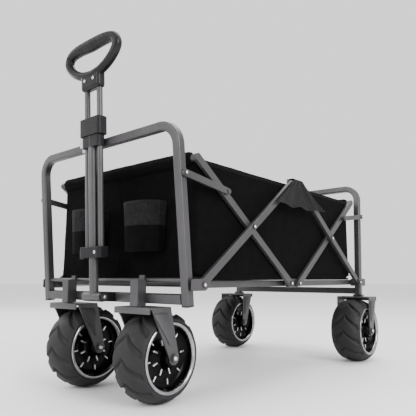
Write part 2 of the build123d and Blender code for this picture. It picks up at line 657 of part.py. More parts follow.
def links(pin_point, end):
    """Short links from the posts to the hangers, each with the rivet at its free end."""
    x = (LINK_IN_FACE, LINK_OUT_FACE)
    link = flat_bar(x, pin_point, end, LINK_WIDTH, [(pin_point, LINK_PIN_R + RUN_GAP)], 1)
    link += rod((HANGER_OUT_FACE + SEAT_GAP, LINK_IN_FACE + 1), end, LINK_WIDTH / 2 - 1)
    link += rod((LINK_OUT_FACE - 1, LINK_OUT_FACE + HEAD_THICK), end, HEAD_R - 1)
    return both_sides(link)


# ---- floor ----
def front_floor_frame():
    """Two rails from the front hinge to the fold line, with a cross tube near each end."""
    x = (FRONT_RAIL_IN_FACE, FRONT_RAIL_OUT_FACE)
    holes = stud_holes(FRONT_HINGE, FOLD_LINE)
    rails = both_sides(flat_bar(x, FRONT_HINGE, FOLD_LINE, FLOOR_RAIL_TALL, holes, 1))
    near = (FRONT_HINGE[0] + FLOOR_TUBE_INSET, HINGE_Z)
    across = (-FRONT_RAIL_IN_FACE, FRONT_RAIL_IN_FACE)
    middle = rod(across, FOLD_LINE, FLOOR_TUBE_R)
    return rails + [rod(across, near, FLOOR_TUBE_R), middle]


def rear_floor_frame():
    """Two rails from the fold line to the rear hinge, outside the front rails."""
    x = (REAR_RAIL_IN_FACE, REAR_RAIL_OUT_FACE)
    rails = both_sides(flat_bar(x, FOLD_LINE, REAR_HINGE, FLOOR_RAIL_TALL, stud_holes(FOLD_LINE), 1))
    far = (REAR_HINGE[0] - FLOOR_TUBE_INSET, HINGE_Z)
    return rails + [rod((-REAR_RAIL_IN_FACE, REAR_RAIL_IN_FACE), far, FLOOR_TUBE_R)]


def floor_hinge_pins():
    """Pins on the fold line, fixed in the rear rails and running in the front ones."""
    inner = FRONT_RAIL_IN_FACE + SEAT_GAP
    return both_sides(rod((inner, REAR_RAIL_OUT_FACE), FOLD_LINE, STUD_R))


def floor_board(y):
    """A stiff board across the rails."""
    z = (HINGE_Z + BOARD_UP, HINGE_Z + BOARD_UP + BOARD_THICK)
    return fillet(block((-TUB_HALF + 5, TUB_HALF - 5), y, z).edges(), 1.5)


# ---- soft goods ----
def tub_end(y, top_z):
    """A wall across one end of the tub."""
    return block((-TUB_HALF + CLOTH + SEAT_GAP, TUB_HALF - CLOTH - SEAT_GAP), y, (TUB_BOTTOM_Z, top_z))


def tub_sides():
    """The long walls, each cut away round the front hanger's cross tube."""
    wall = block((TUB_HALF - CLOTH, TUB_HALF), (FRONT_WALL_Y, REAR_WALL_Y), (TUB_BOTTOM_Z, RIM_Z))
    clear = HANGER_TUBE_R + SEAT_GAP
    notch = (FRONT_WALL_Y - 1, FRONT_HINGE[0] + clear)
    wall -= block((TUB_HALF - CLOTH - 1, TUB_HALF + 1), notch, (FRONT_WALL_TOP_Z, RIM_Z + 1))
    return both_sides(wall)


def cup_pockets():
    """Open-topped pockets on the front wall."""
    wall_y = FRONT_WALL_Y - SEAT_GAP
    x = (POCKET_OUT - POCKET_HALF, POCKET_OUT + POCKET_HALF)
    shell = block(x, (wall_y - POCKET_DEEP, wall_y), (POCKET_LOW, POCKET_HIGH))
    shell = fillet(shell.edges().filter_by(Axis.Z).sort_by(Axis.Y)[:2], POCKET_DEEP * 0.6)
    inside = block(
        (x[0] + CLOTH, x[1] - CLOTH), (wall_y - POCKET_DEEP + CLOTH, wall_y - CLOTH),
        (POCKET_LOW + CLOTH, POCKET_HIGH + 1),
    )
    inside = fillet(inside.edges().filter_by(Axis.Z).sort_by(Axis.Y)[:2], POCKET_DEEP * 0.6 - CLOTH)
    return both_sides(shell - inside)


def joint_caps():
    """Pockets of heavy cloth over the top joints: a strip on the rim and a flap that spreads below."""
    inner = LIFT_OUT_FACE + CAP_GAP
    plane = Plane((inner, 0, 0), x_dir=(0, 1, 0), z_dir=(1, 0, 0))
    flap = Polygon(
        (FOLD_Y - CAP_TOP_HALF, CAP_TOP_Z), (FOLD_Y - CAP_LOW_HALF, CAP_LOW_Z),
        (FOLD_Y + CAP_LOW_HALF, CAP_LOW_Z), (FOLD_Y + CAP_TOP_HALF, CAP_TOP_Z), align=None,
    )
    cap = extrude(plane * flap, amount=CLOTH)
    cap += block(
        (TUB_HALF - CLOTH, inner + 1), (FOLD_Y - CAP_TOP_HALF, FOLD_Y + CAP_TOP_HALF),
        (CAP_TOP_Z - CLOTH, CAP_TOP_Z),
    )
    return both_sides(cap)


def build():
    """Write every node."""
    front, rear = (FRONT_FOOT, FRONT_LEAN), (REAR_FOOT, -REAR_LEAN)
    nodes = {
        "front_hoop": hoop(*front, FRONT_LINK_PIN),
        "front_crossbar": crossbar(*front),
        "front_cross_rod": front_cross_rod(),
        "front_post_caps": post_caps(*front),
        "front_corner_brackets": corner_brackets(*front, FRONT_HINGE, 1),
        "front_hinge_pins": hinge_pins(FRONT_HINGE, FRONT_RAIL_IN_FACE - 2),
        "front_link_pins": link_pins(FRONT_LINK_PIN),
        "caster_housings": caster_housings(),
        "handle_bracket": handle_bracket(),
        "handle_pin": handle_pin(),
        "rail_clip": rail_clip(),
        "draw_tube": draw_tube(),
        "draw_collar": draw_collar(),
        "handle_rods": handle_rods(),
        "slider_block": slider_block(),
        "grip": grip(),
        "handle_rivets": handle_rivets(),
        "rear_hoop": hoop(*rear, REAR_LINK_PIN),
        "rear_crossbar": crossbar(*rear),
        "rear_post_caps": post_caps(*rear),
        "rear_corner_brackets": corner_brackets(*rear, REAR_HINGE, -1),
        "rear_hinge_pins": hinge_pins(REAR_HINGE, POST_IN_FACE),
        "rear_link_pins": link_pins(REAR_LINK_PIN),
        "rear_forks": [rear_fork(-REAR_WHEEL_OUT), rear_fork(REAR_WHEEL_OUT)],
        "rear_axles": [axle(-REAR_WHEEL_OUT, REAR_AXLE), axle(REAR_WHEEL_OUT, REAR_AXLE)],
        "front_lift_bars": lift_bars(FRONT_HINGE, FRONT_TOP_STUD, FRONT_CROSSING),
        "rear_lift_bars": lift_bars(REAR_HINGE, REAR_TOP_STUD, REAR_CROSSING),
        "front_hanger": hanger(FRONT_HANGER_TOP, FRONT_LOW_STUD, FRONT_CROSSING),
        "rear_hanger": hanger(REAR_HANGER_TOP, REAR_LOW_STUD, REAR_CROSSING),
        "front_crossing_rivets": crossing_rivets(FRONT_CROSSING),
        "rear_crossing_rivets": crossing_rivets(REAR_CROSSING),
        "top_plates": top_plates(),
        "bottom_plates": bottom_plates(),
        "front_links": links(FRONT_LINK_PIN, FRONT_LINK_END),
        "rear_links": links(REAR_LINK_PIN, REAR_LINK_END),
        "front_floor_frame": front_floor_frame(),
        "rear_floor_frame": rear_floor_frame(),
        "floor_hinge_pins": floor_hinge_pins(),
        "front_floor_board": floor_board((FRONT_HINGE[0] + BOARD_INSET, FOLD_Y - BOARD_SPLIT)),
        "rear_floor_board": floor_board((FOLD_Y + BOARD_SPLIT, REAR_HINGE[0] - BOARD_INSET)),
        "tub_front": tub_end((FRONT_WALL_Y, FRONT_WALL_Y + CLOTH), FRONT_WALL_TOP_Z),
        "tub_rear": tub_end((REAR_WALL_Y - CLOTH, REAR_WALL_Y), RIM_Z),
        "tub_sides": tub_sides(),
        "cup_pockets": cup_pockets(),
        "joint_caps": joint_caps(),
    }
    for side, sign in (("left", -1), ("right", 1)):
        spots = {"front": (sign * CASTER_OUT, FRONT_AXLE), "rear": (sign * REAR_WHEEL_OUT, REAR_AXLE)}
        for end, (out, point) in spots.items():
            nodes[f"{end}_{side}_tyre"] = tyre(out, point)
            nodes[f"{end}_{side}_rim"] = rim(out, point)
        nodes[f"front_{side}_fork"] = front_fork(sign * CASTER_OUT)
        nodes[f"front_{side}_axle"] = axle(sign * CASTER_OUT, FRONT_AXLE)
    os.makedirs("parts", exist_ok=True)
    for node, solids in nodes.items():
        save(node, solids)


build()
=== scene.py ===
from math import atan2, cos, exp, hypot, pi, radians, sin

import bpy
from mathutils import Matrix, Vector, noise


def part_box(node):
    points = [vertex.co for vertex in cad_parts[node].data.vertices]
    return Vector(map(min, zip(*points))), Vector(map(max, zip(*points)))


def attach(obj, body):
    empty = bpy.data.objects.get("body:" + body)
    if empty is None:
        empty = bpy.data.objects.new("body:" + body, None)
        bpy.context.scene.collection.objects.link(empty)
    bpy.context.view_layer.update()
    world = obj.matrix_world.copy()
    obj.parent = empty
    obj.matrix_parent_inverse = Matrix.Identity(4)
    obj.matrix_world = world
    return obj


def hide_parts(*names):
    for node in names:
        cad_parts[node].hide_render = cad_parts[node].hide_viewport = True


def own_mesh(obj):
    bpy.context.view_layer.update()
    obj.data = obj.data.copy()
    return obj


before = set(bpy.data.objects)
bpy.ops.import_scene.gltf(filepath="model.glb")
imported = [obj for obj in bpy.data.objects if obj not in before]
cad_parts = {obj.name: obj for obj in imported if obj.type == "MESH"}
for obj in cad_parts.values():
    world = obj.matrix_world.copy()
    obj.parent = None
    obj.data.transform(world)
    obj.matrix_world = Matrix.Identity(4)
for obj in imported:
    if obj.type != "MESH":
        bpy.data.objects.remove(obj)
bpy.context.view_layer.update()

# ---- Camera ----
# Low and in front of the cart's right corner, tipped up a little, with a lens
# a little longer than normal.
camera = bpy.data.objects.new("camera", bpy.data.cameras.new("camera"))
bpy.context.collection.objects.link(camera)
camera.location = (0.891, -1.114, 0.265)
camera.rotation_euler = (radians(98.6), 0, radians(40))
camera.data.lens = 40.24
camera.data.sensor_width = 36
bpy.context.scene.camera = camera


# ---- Studio ----
# A pale seamless sweep, one large soft key from above the front, a fill from
# each side and a light from behind for the edges of the tubes.
def soft_light(name, place, aim, size, watts):
    """A square area light pointed at a place."""
    lamp = bpy.data.objects.new(name, bpy.data.lights.new(name, "AREA"))
    bpy.context.collection.objects.link(lamp)
    lamp.location = place
    lamp.rotation_euler = (Vector(aim) - Vector(place)).to_track_quat("-Z", "Y").to_euler()
    lamp.data.size = size
    lamp.data.energy = watts


soft_light("key", (3.0, -0.7, 1.7), (0, 0, 0.3), 1.8, 130)
soft_light("front_fill", (-0.6, -3.2, 1.5), (0, 0, 0.3), 1.8, 70)
soft_light("left_fill", (-2.8, -0.6, 1.6), (0, 0, 0.35), 2.0, 45)
soft_light("top", (0.2, 0.6, 3.2), (0, 0, 0.3), 2.4, 90)
world = bpy.data.worlds.new("studio")
bpy.context.scene.world = world
world.use_nodes = True
world.node_tree.nodes["Background"].inputs["Color"].default_value = (1, 1, 1, 1)
world.node_tree.nodes["Background"].inputs["Strength"].default_value = 1.35

bpy.ops.object.select_all(action="DESELECT")
bpy.ops.mesh.primitive_plane_add(size=40)
floor = bpy.context.object
floor.name = "studio_floor"


class Finish:
    """A material with its shader, its place on the object and short ways to add pattern nodes."""

    def __init__(self, name, colour, roughness, **constants):
        self.material = bpy.data.materials.new(name)
        self.material.use_nodes = True
        self.tree = self.material.node_tree
        self.shader = self.tree.nodes["Principled BSDF"]
        self.shader.inputs["Base Color"].default_value = (*colour, 1)
        self.shader.inputs["Roughness"].default_value = roughness
        for socket, value in constants.items():
            self.shader.inputs[socket.replace("_", " ")].default_value = value
        self.place = self.tree.nodes.new("ShaderNodeTexCoord").outputs["Object"]

    def link(self, source, target):
        self.tree.links.new(source, target)

    def node(self, kind, links=(), **settings):
        """A new node; settings are its own, links pairs of (socket, value or source)."""
        made = self.tree.nodes.new("ShaderNode" + kind)
        for key, value in settings.items():
            setattr(made, key, value)
        for socket, value in links:
            if isinstance(value, bpy.types.NodeSocket):
                self.link(value, made.inputs[socket])
            else:
                made.inputs[socket].default_value = value
        return made

    def grain(self, scale, detail=3.0, roughness=0.5):
        return self.node("TexNoise", [("Vector", self.place), ("Scale", scale), ("Detail", detail),
                                      ("Roughness", roughness)]).outputs["Fac"]

    def ramp(self, source, *stops):
        """Colour stops of (position, colour or grey)."""
        made = self.node("ValToRGB", [("Fac", source)])
        while len(made.color_ramp.elements) < len(stops):
            made.color_ramp.elements.new(0.5)
        for element, (position, colour) in zip(made.color_ramp.elements, stops):
            element.position = position
            element.color = (*colour, 1) if hasattr(colour, "__len__") else (colour, colour, colour, 1)
        return made.outputs["Color"]

    def colour_from(self, source, *stops):
        self.link(self.ramp(source, *stops), self.shader.inputs["Base Color"])

    def roughness_from(self, source, low, high):
        spread = self.node("MapRange", [("Value", source), ("To Min", low), ("To Max", high)])
        self.link(spread.outputs["Result"], self.shader.inputs["Roughness"])

    def bump(self, source, depth, strength=1.0):
        """Adds a height to the surface, on top of any before it."""
        last = self.shader.inputs["Normal"].links
        made = self.node("Bump", [("Height", source), ("Distance", depth), ("Strength", strength)])
        if last:
            self.link(last[0].from_socket, made.inputs["Normal"])
        self.link(made.outputs["Normal"], self.shader.inputs["Normal"])


studio = Finish("studio_paper", (0.86, 0.86, 0.86), 0.55)
studio.colour_from(studio.grain(2, 2), (0.3, 0.84), (0.7, 0.87))
floor.data.materials.append(studio.material)


# ---- Front frame ----
# A square steel tube bent to a hoop, its crossbar, cross rods, corner plates and
# caster housings, welded and powder coated gunmetal grey in a fine satin.
def wear(finish, *nodes):
    """Gives a CAD node the finish in place of its plain one."""
    for name in nodes:
        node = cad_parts[name]
        if not node.material_slots:
            node.data.materials.append(finish.material)
        for material_slot in node.material_slots:
            material_slot.material = finish.material


def powder_coat(name, dark, light):
    coat = Finish(name, light, 0.42, Metallic=0.55, Coat_Weight=0.1, Coat_Roughness=0.3)
    coat.colour_from(coat.grain(9, 4, 0.6), (0.32, dark), (0.72, light))
    coat.roughness_from(coat.grain(60, 3), 0.34, 0.52)
    coat.bump(coat.grain(1500, 2, 0.6), 0.00025, 0.5)
    return coat


gunmetal = powder_coat("gunmetal_powder_coat", (0.040, 0.038, 0.040), (0.056, 0.053, 0.056))
wear(gunmetal, "front_hoop", "front_crossbar", "front_cross_rod", "front_corner_brackets",
     "caster_housings")

# ---- Rear frame ----
# The same steel hoop and crossbar at the back, in the same powder coat, with the
# two fixed forks welded under it.
wear(gunmetal, "rear_hoop", "rear_crossbar", "rear_corner_brackets", "rear_forks")

# ---- Post caps and handle bracket ----
# Injection moulded black plastic, pushed on the posts' lower ends and bolted
# to the crossbar, with a fine spark-eroded grain.
moulded = Finish("black_moulded_plastic", (0.007, 0.007, 0.008), 0.42, Specular_IOR_Level=0.14)
moulded.colour_from(moulded.grain(25), (0.3, (0.005, 0.005, 0.006)), (0.75, (0.010, 0.010, 0.011)))
moulded.roughness_from(moulded.grain(140), 0.36, 0.52)
moulded.bump(moulded.grain(2200, 2), 0.0002, 0.6)
wear(moulded, "front_post_caps", "rear_post_caps", "handle_bracket")

# ---- Side bars, hangers and links ----
# Flat-sided steel tube with rounded long edges and pressed steel joint plates,
# powder coated like the frame and riveted in crossing pairs.
wear(gunmetal, "front_lift_bars", "rear_lift_bars", "front_hanger", "rear_hanger", "front_links",
     "rear_links", "top_plates", "bottom_plates")

# ---- Floor frame ----
# Two halves of flat steel rail and round cross tube, powder coated, which are
# pinned to each other at the fold line and to the corner brackets at their ends.
wear(gunmetal, "front_floor_frame", "rear_floor_frame")

# ---- Rivets and pins ----
# Steel rivets and pins with heads coated like the frame, and a zinc plated centre
# left bright in each head where the tool has pressed it.
zinc = Finish("zinc_plated_steel", (0.62, 0.62, 0.64), 0.28, Metallic=1.0)
zinc.colour_from(zinc.grain(180), (0.3, (0.50, 0.50, 0.52)), (0.7, (0.72, 0.72, 0.74)))
zinc.roughness_from(zinc.grain(420), 0.18, 0.38)
zinc.bump(zinc.grain(900), 0.0002, 0.3)
wear(zinc, "floor_hinge_pins", "handle_rivets", "rail_clip")
wear(gunmetal, "front_crossing_rivets", "rear_crossing_rivets", "front_hinge_pins", "rear_hinge_pins",
     "front_link_pins", "rear_link_pins", "handle_pin", "rear_axles", "front_left_axle", "front_right_axle")


def copied(piece, name, place):
    """A copy with its own mesh, moved to its place."""
    made = piece.copy()
    made.data = piece.data.copy()
    made.name = name
    made.data.transform(Matrix.Translation(place))
    bpy.context.collection.objects.link(made)
    return made


def joined(pieces):
    """Several objects made one, the first of them."""
    bpy.ops.object.select_all(action="DESELECT")
    for piece in pieces:
        piece.select_set(True)
    bpy.context.view_layer.objects.active = pieces[0]
    bpy.ops.object.join()
    return pieces[0]


bpy.ops.object.select_all(action="DESELECT")
bpy.ops.mesh.primitive_uv_sphere_add(segments=20, ring_count=12, radius=1)
bpy.ops.object.mode_set(mode="EDIT")
bpy.ops.mesh.select_all(action="SELECT")
bpy.ops.mesh.bisect(plane_co=(0, 0, 0), plane_no=(1, 0, 0), clear_inner=True, use_fill=True)
bpy.ops.object.mode_set(mode="OBJECT")
right_dome = bpy.context.object
bpy.ops.object.shade_smooth_by_angle(angle=radians(40))
left_dome = copied(right_dome, "left_dome", (0, 0, 0))
left_dome.data.transform(Matrix.Rotation(pi, 4, "Z"))


def rivet_centres(name, body, spots, radius):
    """Bright domed rivet centres standing on coated heads; spots are (x, y, z) on the heads' faces."""
    domes = []
    middle = sum(x for x, y, z in spots) / len(spots)
    for x, y, z in spots:
        dome = copied(right_dome if x > middle else left_dome, name, (0, 0, 0))
        flattened = Matrix.Diagonal((radius / 2, radius, radius, 1))
        dome.data.transform(Matrix.Translation((x, y, z)) @ flattened)
        domes.append(dome)
    rivets = joined(domes)
    rivets.name = name
    rivets.data.materials.append(zinc.material)
    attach(rivets, body)


def outer_ends(node, apart=0.0):
    """The places on a node's two outer faces, or four if it has two heads this far apart along Y."""
    low, high = (Vector(corner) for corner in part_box(node))
    y, z = (low.y + high.y) / 2, (low.z + high.z) / 2
    return [(x, y + step, z) for x in (low.x, high.x) for step in ((-apart, apart) if apart else (0,))]


PIN_DOME, LINK_DOME, AXLE_DOME = 0.0036, 0.0030, 0.0046
for end in ("front", "rear"):
    rivet_centres(f"{end}_hinge_rivets", f"{end}_frame", outer_ends(f"{end}_hinge_pins"), PIN_DOME)
    rivet_centres(f"{end}_link_rivets", f"{end}_frame", outer_ends(f"{end}_link_pins"), LINK_DOME)
    rivet_centres(f"{end}_crossing_centres", f"{end}_lift_bars", outer_ends(f"{end}_crossing_rivets"),
                  PIN_DOME)
for wheel in ("front_left", "front_right"):
    rivet_centres(f"{wheel}_axle_centres", f"{wheel}_caster", outer_ends(f"{wheel}_axle"), AXLE_DOME)
rivet_centres("rear_axle_centres", "rear_frame", outer_ends("rear_axles"), AXLE_DOME)
rivet_centres("bottom_joint_centres", "bottom_joint", outer_ends("bottom_plates", 0.022), PIN_DOME)
rivet_centres("handle_pin_centres", "front_frame", outer_ends("handle_pin"), PIN_DOME)
for dome in (right_dome, left_dome):
    bpy.data.objects.remove(dome)

# ---- Caster forks ----
# Pressed steel: a top plate with its front edge turned down, and two tapering
# legs with rounded feet round the axle and a raised panel pressed into each.
FORK_TOP_Z = 0.205
FORK_EDGE_LOW_Z = 0.1915
LEG_OUT = 0.0555
REAR_WHEEL_OUT = 0.25
FRONT_PLATE_AHEAD = 0.435
REAR_PLATE_BEHIND = 0.4105


def middle_of(node):
    """The middle of a CAD node's box."""
    low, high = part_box(node)
    return (Vector(low) + Vector(high)) / 2


def slab(outline, x, bevel):
    """A plate with its outline of (y, z) points, from x[0] to x[1], its edges eased."""
    bpy.ops.object.select_all(action="DESELECT")
    bpy.ops.mesh.primitive_circle_add(vertices=len(outline), radius=1, fill_type="NGON")
    plate = bpy.context.object
    for vertex, (y, z) in zip(plate.data.vertices, outline):
        vertex.co = (x[0], y, z)
    bpy.ops.object.mode_set(mode="EDIT")
    bpy.ops.mesh.select_all(action="SELECT")
    bpy.ops.mesh.extrude_region_move(TRANSFORM_OT_translate={"value": (x[1] - x[0], 0, 0)})
    bpy.ops.mesh.select_all(action="SELECT")
    bpy.ops.mesh.normals_make_consistent(inside=False)
    bpy.ops.mesh.bevel(offset=bevel, segments=2)
    bpy.ops.object.mode_set(mode="OBJECT")
    bpy.ops.object.shade_smooth_by_angle(angle=radians(35))
    return plate


def leg_outline(top_y, axle, margin, foot):
    """A tapering leg's outline, drawn in by a margin, with a rounded foot."""
    top = FORK_TOP_Z - 0.0005 - margin * 1.6
    front, back = top_y - 0.027 + margin, top_y + 0.029 - margin
    points = [(front + 0.004, top), (front, top - 0.004)]
    for i in range(13):
        turn = pi * (1 + i / 12)
        points.append((axle[0] + foot * cos(turn), axle[1] + foot * sin(turn)))
    return points + [(back, top - 0.004), (back - 0.004, top)]


def fork_trim(name, body, out, top_y, axle):
    """The turned-down edge in front of a fork's plate and the raised panels on its legs."""
    ahead = -1 if axle[0] > top_y else 1
    edge = sorted((top_y + ahead * 0.0303, top_y + ahead * 0.0340))
    corners = [(edge[0], FORK_EDGE_LOW_Z), (edge[1], FORK_EDGE_LOW_Z), (edge[1], FORK_TOP_Z),
               (edge[0], FORK_TOP_Z)]
    parts = [slab(corners, (out - LEG_OUT, out + LEG_OUT), 0.0009)]
    foot = (axle[0] + (top_y - axle[0]) * 0.30, axle[1] + 0.036)
    for side in (-1, 1):
        panel = sorted((out + side * (LEG_OUT + 0.0001), out + side * (LEG_OUT + 0.0018)))
        parts.append(slab(leg_outline(top_y, foot, 0.0070, 0.0078), panel, 0.0010))
    trim_piece = joined(parts)
    trim_piece.name = name
    trim_piece.data.materials.append(gunmetal.material)
    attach(trim_piece, body)


front_plate_y = middle_of("bottom_plates").y - FRONT_PLATE_AHEAD
rear_plate_y = middle_of("bottom_plates").y + REAR_PLATE_BEHIND
for side, sign in (("left", -1), ("right", 1)):
    axle = middle_of(f"front_{side}_axle")
    fork_trim(f"front_{side}_fork_trim", f"front_{side}_caster", axle.x, front_plate_y, (axle.y, axle.z))
    axle = middle_of("rear_axles")
    fork_trim(f"rear_{side}_fork_trim", "rear_frame", sign * REAR_WHEEL_OUT, rear_plate_y, (axle.y, axle.z))
wear(gunmetal, "front_left_fork", "front_right_fork")

# ---- Draw tube, rods, collar and slider ----
# Round steel tube in the frame's grey, with a moulded guide pressed on its top,
# two rods that slide beside it, and a moulded slider fixed to their lower ends.
wear(gunmetal, "draw_tube", "handle_rods")
wear(moulded, "draw_collar", "slider_block")


# ---- Tyres ----
# Wide soft rubber tyres moulded in one: a round crown with twelve thick chevron
# ribs that run down on to smooth side walls, and a bead under the rim's lip.
TYRE_OUTLINE = [(0, 98), (8, 97.8), (16, 97.1), (24, 95.6), (31, 93.2), (37, 89.9), (42, 85.6),
                (45.6, 81.4), (47.4, 78.6), (47.0, 76.2), (44.4, 74.0), (41, 72.8)]
RIBS = 12
RIB_DEPTH = 0.0058
TREAD_HALF = 0.0455
TREAD_FOOT_RADIUS = 0.0805
WHEELS = ("front_left", "front_right", "rear_left", "rear_right")


def eased(points, share):
    """A smooth line through points, at a share of the way along."""
    spot = share * (len(points) - 1)
    i = min(int(spot), len(points) - 2)
    t = spot - i
    a, b, c, d = (Vector(points[max(0, min(len(points) - 1, i + k))]) for k in (-1, 0, 1, 2))
    bend, twist = 2 * a - 5 * b + 4 * c - d, 3 * b - a - 3 * c + d
    return 0.5 * (2 * b + (c - a) * t + bend * t * t + twist * t ** 3)


def ramped(low, high, value):
    """A smooth rise from 0 at low to 1 at high."""
    t = max(0, min(1, (value - low) / (high - low)))
    return t * t * (3 - 2 * t)


def spun(name, outline, steps):
    """A closed outline of (out, radius) points turned once about the axle line."""
    bpy.ops.object.select_all(action="DESELECT")
    bpy.ops.mesh.primitive_circle_add(vertices=len(outline), radius=1)
    piece = bpy.context.object
    piece.name = name
    for vertex, (out, radius) in zip(piece.data.vertices, outline):
        vertex.co = (out, 0, radius)
    bpy.ops.object.mode_set(mode="EDIT")
    bpy.ops.mesh.select_all(action="SELECT")
    bpy.ops.mesh.spin(steps=steps, angle=2 * pi, center=(0, 0, 0), axis=(1, 0, 0))
    bpy.ops.mesh.select_all(action="SELECT")
    bpy.ops.mesh.remove_doubles(threshold=1e-6)
    bpy.ops.mesh.normals_make_consistent(inside=False)
    bpy.ops.object.mode_set(mode="OBJECT")
    bpy.ops.object.shade_smooth_by_angle(angle=radians(42))
    return piece


def groove(out, angle):
    """How deep the tread is cut at a place, from 0 on a rib to 1 in a groove."""
    side = min(1, abs(out) / TREAD_HALF)
    phase = angle * RIBS / (2 * pi) + 0.95 * side ** 0.8
    place = phase % 1
    width = 0.20 + 0.22 * side
    cut = ramped(0, 0.07, place) * (1 - ramped(width - 0.11, width + 0.03, place))
    return cut * (1 - ramped(0.86, 1.0, side)) * ramped(-0.02, 0.10, side + 0.02)


half_outline = [eased(TYRE_OUTLINE, i / 34) / 1000 for i in range(35)]
tyre_outline = [tuple(p) for p in half_outline] + [(-p[0], p[1]) for p in reversed(half_outline[1:])]
tyre = spun("tyre", tyre_outline, 360)
for vertex in tyre.data.vertices:
    out, y, z = vertex.co
    radius = hypot(y, z)
    if radius > TREAD_FOOT_RADIUS and abs(out) < TREAD_HALF:
        deep = RIB_DEPTH * groove(out, atan2(z, -y))
        vertex.co = (out, y * (1 - deep / radius), z * (1 - deep / radius))
rubber = Finish("tyre_rubber", (0.014, 0.014, 0.015), 0.62, Specular_IOR_Level=0.2)
rubber.colour_from(rubber.grain(14, 5, 0.6), (0.3, (0.0105, 0.0100, 0.0108)),
                   (0.72, (0.0170, 0.0162, 0.0175)))
rubber.roughness_from(rubber.grain(90), 0.52, 0.72)
rubber.bump(rubber.grain(1300, 3), 0.0003, 0.5)
tyre.data.materials.append(rubber.material)

# ---- Rims ----
# A gloss black moulded dish with a satin metal trim ring snapped over its lip, and
# eight pairs of short raised ribs standing on it between the hub and the ring, whose bright zinc is a
# painted glint.
DISH = [(0, 71.8), (40.5, 71.8), (43.5, 71.0), (44.6, 69.0), (43.8, 67.2), (38, 65.2), (31, 62.5),
        (27.5, 58), (25.5, 50), (25, 40), (26.5, 30), (30, 23), (37, 19.5), (45, 18), (49, 16.6),
        (50.6, 14), (50.8, 6.2), (0, 6.2)]
LIP = [(44.9, 75.0), (47.4, 74.8), (48.8, 73.2), (49.1, 71.0), (48.0, 68.6), (45.4, 66.6),
       (43.2, 66.0), (44.2, 71.2)]
dish_outline = [(out / 1000, radius / 1000) for out, radius in DISH]
dish_outline += [(-out / 1000, radius / 1000) for out, radius in reversed(DISH[1:-1])]
dish = spun("dish", dish_outline, 120)
gloss = Finish("gloss_black_dish", (0.001, 0.001, 0.001), 0.24, Specular_IOR_Level=0.06, Coat_Weight=0.015,
               Coat_Roughness=0.1)
gloss.colour_from(gloss.grain(30), (0.3, 0.0008), (0.75, 0.0016))
gloss.roughness_from(gloss.grain(55), 0.16, 0.28)
gloss.bump(gloss.grain(260, 2), 0.0003, 0.12)
dish.data.materials.append(gloss.material)

lip = spun("lip", [(out / 1000, radius / 1000) for out, radius in LIP], 144)
other = copied(lip, "other_lip", (0, 0, 0))
other.data.transform(Matrix.Scale(-1, 4, (1, 0, 0)))
other.data.flip_normals()
lip = joined([lip, other])
trim = Finish("satin_trim", (0.26, 0.26, 0.27), 0.25, Metallic=1.0)
trim.colour_from(trim.grain(70), (0.3, (0.20, 0.20, 0.21)), (0.7, (0.30, 0.30, 0.31)))
trim.roughness_from(trim.grain(300), 0.14, 0.30)
lip.data.materials.append(trim.material)


def small_bar(length, width, tall):
    """A short rounded rib, to stand on the dish."""
    bpy.ops.object.select_all(action="DESELECT")
    bpy.ops.mesh.primitive_cube_add(size=1)
    bar = bpy.context.object
    bar.data.transform(Matrix.Diagonal((tall, width, length, 1)))
    bpy.ops.object.mode_set(mode="EDIT")
    bpy.ops.mesh.select_all(action="SELECT")
    bpy.ops.mesh.bevel(offset=width * 0.32, segments=2)
    bpy.ops.object.mode_set(mode="OBJECT")
    return bar


outer_bar = small_bar(0.013, 0.0036, 0.006)
inner_bar = small_bar(0.014, 0.0038, 0.006)
bars = []
for i in range(8):
    for side in (-1, 1):
        turn = 2 * pi * i / 8 + 0.12 * side
        for bar, out, radius, ahead in ((outer_bar, 0.0275, 0.0515, 0), (inner_bar, 0.0272, 0.0325, 0.24)):
            made = copied(bar, "bar", (side * out, 0, radius))
            made.data.transform(Matrix.Rotation(turn + ahead * side, 4, "X"))
            bars.append(made)
spoke_glints = joined(bars)
# The ribs' bright zinc is a painted glint on the spokes of the dish.
spoke_glints.data.materials.append(zinc.material)
for bar in (outer_bar, inner_bar):
    bpy.data.objects.remove(bar)

for wheel in WHEELS:
    place = middle_of(wheel + "_tyre")
    body = wheel + "_wheel"
    for piece, kind, node, finish in ((tyre, "tyre", "tyre", "tyre_rubber"),
                                      (dish, "dish", "rim", "gloss_black"),
                                      (lip, "lip", None, "zinc_steel"),
                                      (spoke_glints, "spoke_glints", None, "zinc_steel")):
        made = copied(piece, f"{wheel}_{kind}_shaped", place)
        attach(made, body)
        if node:
            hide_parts(f"{wheel}_{node}")
for piece in (tyre, dish, lip, spoke_glints):
    bpy.data.objects.remove(piece)

# ---- Tub ----
# One band of black woven polyester hung from the end tubes and the top joints:
# rounded corners, a bound top edge and a turned foot hem, slack in the walls.
TUB_SIDE = 0.2428
TUB_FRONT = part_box("tub_front")[0][1] + 0.0002
TUB_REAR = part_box("tub_rear")[1][1] - 0.0002
TUB_LOW = 0.2622
TUB_HIGH = 0.5215
CORNER = 0.010
FOLD_Y = middle_of("top_plates").y
FRONT_Y, REAR_Y = FOLD_Y - 0.4, FOLD_Y + 0.4
FOLD_POINT = (0, FOLD_Y, 0.522)


